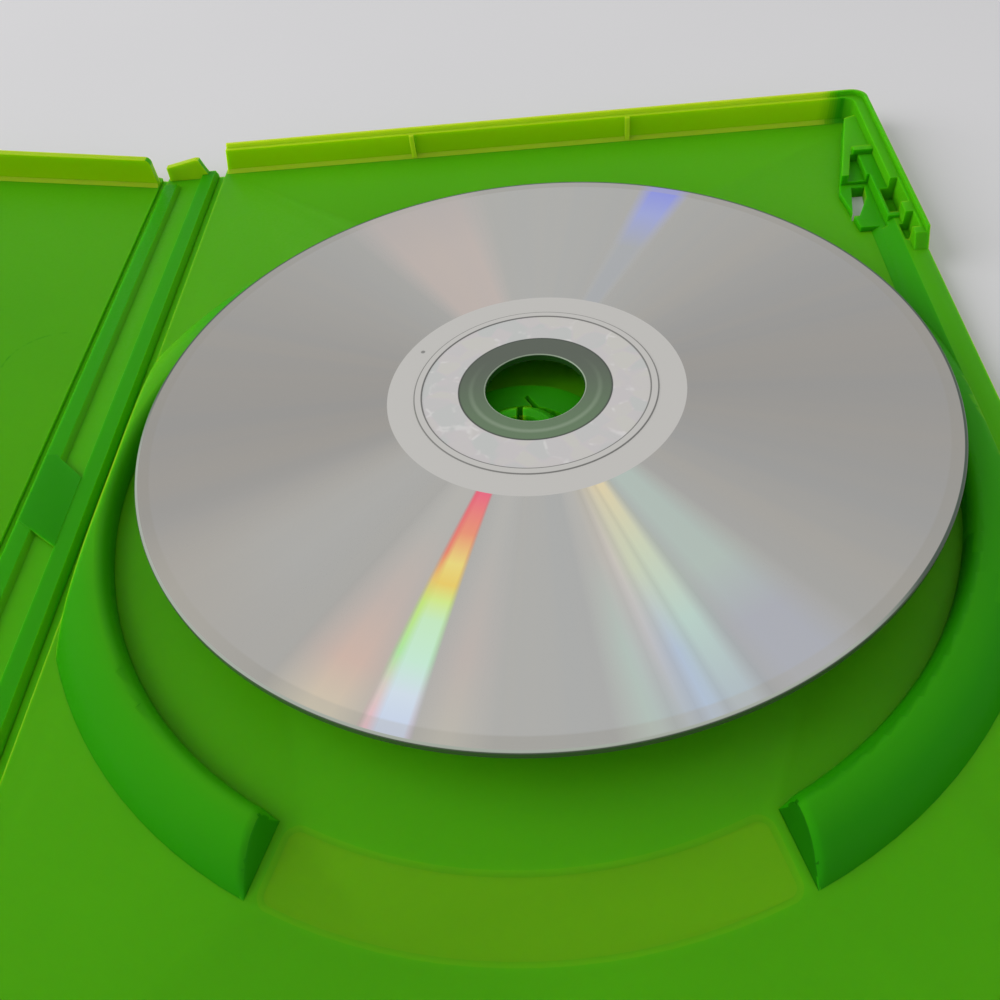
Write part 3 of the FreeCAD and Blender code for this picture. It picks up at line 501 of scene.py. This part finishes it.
# The fade of the inner wall's depth, in mm from the disc's centre, and the fade along X, in mm, of the
# painted shade on the ridge's right-hand side.
WALL_FADE, SHADED_SIDE_FADE = (CREST_IN + 0.6, CREST_IN - 0.8), (-30.0, 30.0)
HINGE_FADE_X, HINGE_FADE_Y = (-54.0, -60.0), (-22.0, 2.0)
LATCH_X, STEP_X = 58.0, 65.6
RECESS_Y = 44.0
HINGE_STRIP = -63.0
END_ZONE = 6.0
CORNER_CUTS = tuple(60.6 + 0.5 * i for i in range(9))
LUG_Y = (-13.0, 6.5)
LUG_Z, RIB_Z = 2.05, 1.2

# How the depth of plastic behind a face is felt: a cone of rays, and small steps off the surface.
SLANT = math.radians(40)
ROUND_ABOUT = 8
THINNEST = 0.2
STEP_IN, STEP_OUT = 0.01 * MM, 0.05 * MM
OPEN_AIR = 25 * MM
MOST_POINTS = 8

# Depths in mm that suit a place's look better than the felt ones do; several of them are painted light and
# shade.
# A lighter crest as a painted highlight, made deeper on the right-hand side as painted shade.
CREST_DEPTH, SHADED_SIDE_CREST_DEPTH = 1.7, 2.4
FOOT_DEEPER = 2.2
# The inner wall made deeper, partly as painted shade, and deeper still on the right-hand side as painted
# shade.
WALL_DEEPER, SHADED_SIDE_WALL_DEEPER = 0.8, 3.0
RIDGE_BY_HINGE = 1.4
# The ridge's ends are deep, and the right-hand ones deeper still as painted shade.
RIDGE_END, SHADED_SIDE_RIDGE_END = 4.2, 6.0
STRIP_LEAST, UNDER_MOST = 1.5, 1.2
RECESS_STEP, RECESS_WALL = 1.5, 2.9
LATCH_STEP, LATCH_WALL = 1.7, 2.8
# The spine's depths; the rib sides are painted lighter than the rib tops, painted light that lifts their
# shade.
SPINE_LUG, SPINE_PLATE, RIB_TOP, RIB_SIDE_PAINTED_LIGHT = 4.0, 1.5, 3.0, 1.4
WEB_DEPTH = 2.0

# Painted light: the yellow light painted into thin upright walls and the end rims' slanted foot, as if it
# came through them: its share, and the depth that sets its tone.
FOOT_PAINTED_GLOW, FOOT_DEPTH = 0.8, 1.1
RIM_PAINTED_GLOW, RIM_DEPTH, RIM_TALL = 0.9, 1.3, 3.0
OUTER_PAINTED_GLOW, OUTER_DEPTH, OUTER_NEAR, OUTER_TALL = 0.6, 1.5, 1.2, 2.5
PAINTED_GLOW_DEPTH, LIT_LEAST = 3.2, 0.5


def share_between(value, low, high):
    """0 at low and 1 at high; low may be above high."""
    return min(max((value - low) / (high - low), 0.0), 1.0)


def inward_rays(normal):
    """The direction straight into a wall, and a cone of directions about it."""
    straight = -normal
    side = straight.orthogonal().normalized()
    other = straight.cross(side)
    yield straight
    for i in range(ROUND_ABOUT):
        turn = 2 * math.pi * i / ROUND_ABOUT
        across = side * math.cos(turn) + other * math.sin(turn)
        yield straight * math.cos(SLANT) + across * math.sin(SLANT)


def ray_length(tree, point, normal, ray):
    """How far a ray goes through the plastic behind a point, in mm."""
    return (tree.ray_cast(point - normal * STEP_IN, ray)[3] or 0.0) / MM


def wall_depth(tree, point, normal):
    """Depth of plastic behind a point, in mm: the harmonic mean, as light takes the short ways in."""
    total = 0.0
    for ray in inward_rays(normal):
        total += 1.0 / min(max(ray_length(tree, point, normal, ray), THINNEST), THICKEST)
    return (ROUND_ABOUT + 1) / total


def opens_behind(tree, point, normal):
    """True where a straight ray leaves the plastic behind a point and then meets nothing near."""
    hit = tree.ray_cast(point - normal * STEP_IN, -normal)
    if hit[0] is None:
        return False
    return tree.ray_cast(hit[0] - normal * STEP_OUT, -normal, OPEN_AIR)[0] is None


def ridge_depth(place):
    """Deepest at the ridge's inner wall and outer foot, and lighter over its crest and by the hinge: the
    lighter crest is a painted highlight, the deeper inner wall is partly painted shade, and the deeper
    right-hand side is painted shade.
    """
    reach = math.hypot(place.x, place.y)
    # Painted shade: the ridge darkens from left to right.
    far = share_between(place.x, *SHADED_SIDE_FADE)
    foot = share_between(reach, CREST_IN, RIDGE_OUT)
    wall = share_between(reach, *WALL_FADE)
    by_hinge = share_between(place.x, *HINGE_FADE_X) * share_between(place.y, *HINGE_FADE_Y)
    top = CREST_DEPTH + (SHADED_SIDE_CREST_DEPTH - CREST_DEPTH) * far + FOOT_DEEPER * foot
    top += (RIDGE_BY_HINGE - top) * by_hinge
    return top + (WALL_DEEPER + (SHADED_SIDE_WALL_DEEPER - WALL_DEEPER) * far) * wall


def faces_along_ridge(place, normal):
    """True for a steep face that looks along the ridge, as its ends do."""
    out = Vector((place.x, place.y, 0)).normalized()
    return abs(normal.dot(out)) < 0.5 and normal.z < 0.75


# Each piece's depth at a face's corner, from the felt depth, the face's middle and normal, and the corner.
def tray_depth(depth, place, normal, corner):
    reach = math.hypot(place.x, place.y)
    raised = place.z > FLOOR_TOP + LEVEL_STEP
    if raised and RIDGE_IN < reach < RIDGE_OUT and place.x < LATCH_X:
        if faces_along_ridge(place, normal):
            # Right-hand ends are painted darker, as painted shade.
            return RIDGE_END if place.x < 0 else SHADED_SIDE_RIDGE_END
        return ridge_depth(corner)
    if place.x < HINGE_STRIP:
        return max(depth, STRIP_LEAST)
    if raised and place.x > LATCH_X and abs(place.y) < RECESS_Y:
        return RECESS_STEP if place.x > STEP_X else RECESS_WALL
    if raised and place.x > LATCH_X:
        return LATCH_STEP if place.x > STEP_X else LATCH_WALL
    return min(depth, UNDER_MOST) if place.z < FLOOR_TOP - SLACK else depth


def spine_depth(depth, place, normal, corner):
    if LUG_Y[0] < place.y < LUG_Y[1] and place.z > LUG_Z:
        return SPINE_LUG
    if place.z < RIB_Z:
        return SPINE_PLATE
    # Rib sides painted lighter than the tops, as painted light over their shade.
    return RIB_TOP if normal.z > 0.7 else RIB_SIDE_PAINTED_LIGHT


def web_depth(depth, place, normal, corner):
    return WEB_DEPTH


def own_depth(depth, place, normal, corner):
    return depth


def rim_painted_light(tree, point, normal, depth):
    """How much painted light an end rim shows at a point, as if light came through its plastic, and the
    depth that sets its tone.
    """
    upright = normal.y ** 2
    if 0.2 < upright < 0.8 and normal.z > 0.3:
        return FOOT_PAINTED_GLOW, FOOT_DEPTH
    if normal.z > 0.9 and ray_length(tree, point, normal, -normal) > RIM_TALL:
        return RIM_PAINTED_GLOW, min(depth, RIM_DEPTH)
    if opens_behind(tree, point, normal):
        return upright * min(max(PAINTED_GLOW_DEPTH - depth, 0.0), 1.0), depth
    return 0.0, depth


def is_outer_wall(tree, mesh, face, point, low, high):
    """True for a tall upright face at the outside of a piece, with nothing before it."""
    if abs(face.normal.z) > 0.4:
        return False
    heights = [mesh.vertices[i].co.z for i in face.vertices]
    edge = min(point.x - low.x, high.x - point.x, point.y - low.y, high.y - point.y)
    if edge > OUTER_NEAR * MM or max(heights) - min(heights) < OUTER_TALL * MM:
        return False
    return tree.ray_cast(point + face.normal * STEP_OUT, face.normal)[0] is None


def mark_thickness(mesh, held=own_depth):
    """Keeps, at each face's corners, the depth of plastic behind it and how much painted light it shows, as
    if light came through it.
    """
    work = bmesh.new()
    work.from_mesh(mesh)
    tree = BVHTree.FromBMesh(work)
    work.free()
    spots = [vertex.co for vertex in mesh.vertices]
    low = Vector(min(spot[i] for spot in spots) for i in range(3))
    high = Vector(max(spot[i] for spot in spots) for i in range(3))
    mesh.calc_loop_triangles()
    points = {}
    for triangle in mesh.loop_triangles:
        points.setdefault(triangle.polygon_index, []).append((triangle.area, triangle.center[:]))
    thickness = [0.0] * len(mesh.loops)
    painted_glow = [0.0] * len(mesh.loops)
    for face in mesh.polygons:
        largest = sorted(points[face.index], reverse=True)[:MOST_POINTS]
        weight = sum(area for area, _ in largest) or 1.0
        depth = sum(area * wall_depth(tree, Vector(spot), face.normal) for area, spot in largest) / weight
        middle = Vector(largest[0][1])
        place = middle / MM
        light, lit_depth = 0.0, depth
        # Painted light in the tall outer walls, and in the end rims, where it fades out towards the
        # right-hand corner.
        if is_outer_wall(tree, mesh, face, middle, low, high):
            light, lit_depth = OUTER_PAINTED_GLOW, OUTER_DEPTH
        elif min(middle.y - low.y, high.y - middle.y) < END_ZONE * MM:
            light, lit_depth = rim_painted_light(tree, middle, face.normal, depth)
            light *= share_between(place.x, CORNER_CUTS[-1], CORNER_CUTS[0])
        for i in face.loop_indices:
            corner = mesh.vertices[mesh.loops[i].vertex_index].co / MM
            thickness[i] = lit_depth if light > LIT_LEAST else held(depth, place, face.normal, corner)
            painted_glow[i] = light
    for name, values in (("thickness", thickness), ("painted_glow", painted_glow)):
        layer = mesh.attributes.new(name, "FLOAT", "CORNER")
        layer.data.foreach_set("value", values)


# How near points are joined, how flat faces are made whole, and how near a cut takes a point as its own.
JOIN_NEAR, CUT_NEAR = 0.002 * MM, 0.001 * MM
FLAT_WITHIN = math.radians(0.4)


def cad_copy(node_name, material, prepare):
    """A clean copy of a CAD node's mesh: doubled points joined, flat faces made whole, details added."""
    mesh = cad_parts[node_name].data.copy()
    mesh.name = node_name + "_skin"
    work = bmesh.new()
    work.from_mesh(mesh)
    bmesh.ops.remove_doubles(work, verts=work.verts, dist=JOIN_NEAR)
    bmesh.ops.dissolve_limit(work, angle_limit=FLAT_WITHIN, verts=work.verts, edges=work.edges)
    prepare(work)
    work.to_mesh(mesh)
    work.free()
    mesh.materials.clear()
    mesh.materials.append(material)
    return mesh


# Softer forms of the tray: the ridge's ends, the thin patches' walls, and cuts along the rims.
END_ROUND, END_STEPS = 0.8 * MM, 4
END_REACH, END_AREA = 14.0 * MM, 6 * MM * MM
PATCH_SLOPE, PATCH_LOW = 0.7 * MM, 0.05 * MM
RIM_FOOT, RIM_TOP = (FLOOR_TOP + 0.2) * MM, 1.5 * MM


def on_ridge(face):
    middle = face.calc_center_median() / MM
    return RIDGE_IN < math.hypot(middle.x, middle.y) < RIDGE_OUT and middle.z > FLOOR_TOP + SLACK


def is_ridge_end(face):
    """True for the flat slanted faces that end the disc well's ridge at the finger notches."""
    middle = face.calc_center_median()
    out = Vector((middle.x, middle.y, 0)).normalized()
    slanted = 0.3 < face.normal.z < 0.5 and abs(face.normal.dot(out)) < 0.6
    return on_ridge(face) and slanted and face.calc_area() > END_AREA


def cut(work, faces, place, normal):
    """Cuts some faces, with their edges and points, along a plane."""
    parts = set(faces)
    for face in faces:
        parts.update(face.edges)
        parts.update(face.verts)
    bmesh.ops.bisect_plane(work, geom=list(parts), dist=CUT_NEAR, plane_co=place, plane_no=normal)


def round_ridge_end(work, middle, normal):
    """Rounds the upper edge of one end of the ridge, where fingers go in."""
    def sides(faces):
        return [face for face in faces if on_ridge(face) and face.normal.dot(normal) < 0.9]

    for i in range(1, END_STEPS + 1):
        depth = END_ROUND * (1 - math.cos(math.pi / 2 * i / END_STEPS))
        near = [face for face in work.faces if (face.calc_center_median() - middle).length < END_REACH]
        cut(work, sides(near), middle - normal * depth, normal)
    moves = []
    for vert in work.verts:
        share = (middle - vert.co).dot(normal) / END_ROUND
        height = vert.co.z - FLOOR_TOP * MM
        around = sides(vert.link_faces)
        within = -0.01 < share < 0.99 and (vert.co - middle).length <= END_REACH
        if not around or not within or height < SLACK * MM:
            continue
        out = sum((face.normal for face in around), Vector()).normalized()
        out -= normal * out.dot(normal) * (1 - share)
        drop = 1 - math.sqrt(max(1 - (1 - share) ** 2, 0.0))
        moves.append((vert, out * drop * min(END_ROUND, 0.5 * height)))
    for vert, move in moves:
        vert.co -= move


def soften_patch(work):
    """Gives the thin patches' shallow walls a gentle slope."""
    moves = []
    for vert in work.verts:
        walls = [face.normal for face in vert.link_faces if abs(face.normal.z) < 0.1]
        floors = [face for face in vert.link_faces if face.normal.z > 0.99]
        low = PATCH_LOW < vert.co.z < (FLOOR_TOP - LEVEL_STEP) * MM
        if low and walls and floors and vert.co.xy.length < RIDGE_OUT * MM:
            moves.append((vert, sum(walls, Vector()).normalized() * PATCH_SLOPE))
    for vert, move in moves:
        vert.co += move


def is_rim(face, low, high):
    """True for faces of the walls along the case's two ends, and for those on top of all its walls."""
    middle = face.calc_center_median()
    at_end = min(middle.y - low[1], high[1] - middle.y) < END_ZONE * MM
    return (at_end and middle.z > RIM_FOOT) or middle.z > high[2] - RIM_TOP


def prepare_tray(work):
    """Rounds the ridge's ends, softens the thin patches and parts the rims' long faces at the corners."""
    ends = [(face.calc_center_median(), face.normal.copy()) for face in work.faces if is_ridge_end(face)]
    for middle, normal in ends:
        round_ridge_end(work, middle, normal)
    soften_patch(work)
    low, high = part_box("back_tray")
    for x in CORNER_CUTS:
        rims = [face for face in work.faces if is_rim(face, low, high)]
        cut(work, rims, (x * MM, 0, 0), (1, 0, 0))


def as_it_is(work):
    """Adds nothing to a piece."""


# Rounded edges of the case's pieces.
EDGE_ROUND = 0.22 * MM
SHARP = math.radians(32)


def dressed(node_name, body, material=GREEN, prepare=as_it_is, held=own_depth):
    """A copy of a CAD node with softly rounded edges, in place of the node."""
    mesh = cad_copy(node_name, material, prepare)
    mesh.shade_smooth()
    mesh.set_sharp_from_angle(angle=SHARP)
    obj = link(bpy.data.objects.new(node_name + "_skin", mesh))
    rounder = obj.modifiers.new("round", "BEVEL")
    rounder.width = EDGE_ROUND
    rounder.segments = 2
    rounder.limit_method = "ANGLE"
    rounder.angle_limit = SHARP
    rounder.use_clamp_overlap = True
    rounder.harden_normals = True
    graph = bpy.context.evaluated_depsgraph_get()
    final = bpy.data.meshes.new_from_object(obj.evaluated_get(graph))
    obj.modifiers.clear()
    obj.data = final
    mark_thickness(final, held)
    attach(obj, body)
    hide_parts(node_name)


def bending(node_name, cuts=12):
    """A living hinge: the CAD node cut into narrow strips, in place of the node."""
    low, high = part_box(node_name)

    def strips(work):
        for i in range(1, cuts):
            cut(work, work.faces[:], (low[0] + (high[0] - low[0]) * i / cuts, 0, 0), (1, 0, 0))

    mesh = cad_copy(node_name, WEB, strips)
    mark_thickness(mesh, web_depth)
    obj = link(bpy.data.objects.new(node_name + "_skin", mesh))
    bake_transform(obj)
    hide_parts(node_name)


def disc_profile():
    """The disc's section as radii and heights in mm, from the hole over the mirror to the print."""
    half = DISC_THICK / 2
    top = half + STACK_RISE
    return [
        (HOLE, HOLE_CUT - half), (HOLE, half - HOLE_CUT), (HOLE + HOLE_CUT, half), (CLEAR_RING, half),
        (STACK_IN - STACK_SLOPE, half), (STACK_IN, top), (STACK_OUT, top), (STACK_OUT + STACK_SLOPE, half),
        (DATA_IN, half), (DATA_OUT, half), (DISC_RADIUS - EDGE_CUT, half), (DISC_RADIUS, half - EDGE_CUT),
        (DISC_RADIUS, EDGE_CUT - half), (DISC_RADIUS - EDGE_CUT, -half), (DATA_OUT, -half),
        (DATA_IN, -half), (CLEAR_RING, -half), (HOLE + HOLE_CUT, -half),
    ]


def turned_disc(steps=240):
    """The disc as one turned profile about its own centre, laid where the CAD disc lies."""
    profile = disc_profile()
    count = len(profile)
    points = []
    faces = []
    for i in range(steps):
        turn = 2 * math.pi * i / steps
        points += [(r * math.cos(turn) * MM, r * math.sin(turn) * MM, z * MM) for r, z in profile]
        here, there = i * count, (i + 1) % steps * count
        for j in range(count):
            k = (j + 1) % count
            faces.append((here + j, here + k, there + k, there + j))
    mesh = bpy.data.meshes.new("game_disc_skin")
    mesh.from_pydata(points, [], faces)
    work = bmesh.new()
    work.from_mesh(mesh)
    bmesh.ops.recalc_face_normals(work, faces=work.faces)
    work.to_mesh(mesh)
    work.free()
    mesh.shade_smooth()
    mesh.set_sharp_from_angle(angle=math.radians(30))
    mesh.materials.append(SILVER)
    low, high = (Vector(corner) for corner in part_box("game_disc"))
    size = high - low
    lean = math.asin((size.z - DISC_THICK * MM) / size.x)
    obj = link(bpy.data.objects.new("game_disc_skin", mesh))
    obj.matrix_world = Matrix.Translation((low + high) / 2) @ Matrix.Rotation(-lean, 4, "X")
    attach(obj, "tray")
    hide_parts("game_disc")


dressed("back_tray", "tray", prepare=prepare_tray, held=tray_depth)
dressed("front_cover", "cover", material=SCUFFED)
dressed("spine", "spine", held=spine_depth)
bending("tray_hinge_web")
bending("cover_hinge_web")
turned_disc()

# Floor: one large pale sheet just under the case, in metres.
FLOOR_REACH = 3.0
FLOOR_DROP = 0.05 * MM
floor_mesh = bpy.data.meshes.new("table_top")
corners = [(x * FLOOR_REACH, y * FLOOR_REACH, 0) for x, y in ((-1, -1), (1, -1), (1, 1), (-1, 1))]
floor_mesh.from_pydata(corners, [], [(0, 1, 2, 3)])
floor = link(bpy.data.objects.new("table_top", floor_mesh))
floor.location.z = -FLOOR_DROP
floor_mesh.materials.append(PALE)

# Light: an even pale room, and a broad soft window from the far left, kept out of the mirror.
ROOM_LIGHT = 0.54
WINDOW_PLACE, WINDOW_SIZE, WINDOW_POWER = Vector((-1.5, 0.1, 0.95)), 1.4, 19.0

world = bpy.data.worlds.new("room")
scene.world = world
world.use_nodes = True
backdrop = world.node_tree.nodes["Background"]
backdrop.inputs["Color"].default_value = (1.0, 1.0, 1.0, 1.0)
backdrop.inputs["Strength"].default_value = ROOM_LIGHT

window_data = bpy.data.lights.new("window_left", "AREA")
window_data.shape = "SQUARE"
window_data.size = WINDOW_SIZE
window_data.energy = WINDOW_POWER
window = link(bpy.data.objects.new("window_left", window_data))
window.location = WINDOW_PLACE
window.rotation_euler = (-WINDOW_PLACE).to_track_quat("-Z", "Y").to_euler()
window.visible_glossy = False

# Camera, from a pinhole fit to the photograph's disc circle and tray edges: its place in mm, and its turns
# about X, Y and Z in degrees.
CAMERA_PLACE = Vector((7.961, -94.959, 104.486))
CAMERA_TURNS = (40.1109, 5.5659, 0.7726)
CAMERA_LENS, SENSOR_WIDTH, NEAREST = 33.81, 36.0, 0.005

camera_data = bpy.data.cameras.new("camera")
camera_data.sensor_width = SENSOR_WIDTH
camera_data.lens = CAMERA_LENS
camera_data.clip_start = NEAREST
camera = link(bpy.data.objects.new("camera", camera_data))
facing = Euler([math.radians(turn) for turn in CAMERA_TURNS]).to_matrix()
camera.matrix_world = Matrix.Translation(CAMERA_PLACE * MM) @ facing.to_4x4()
scene.camera = camera

scene.view_settings.view_transform = "Standard"
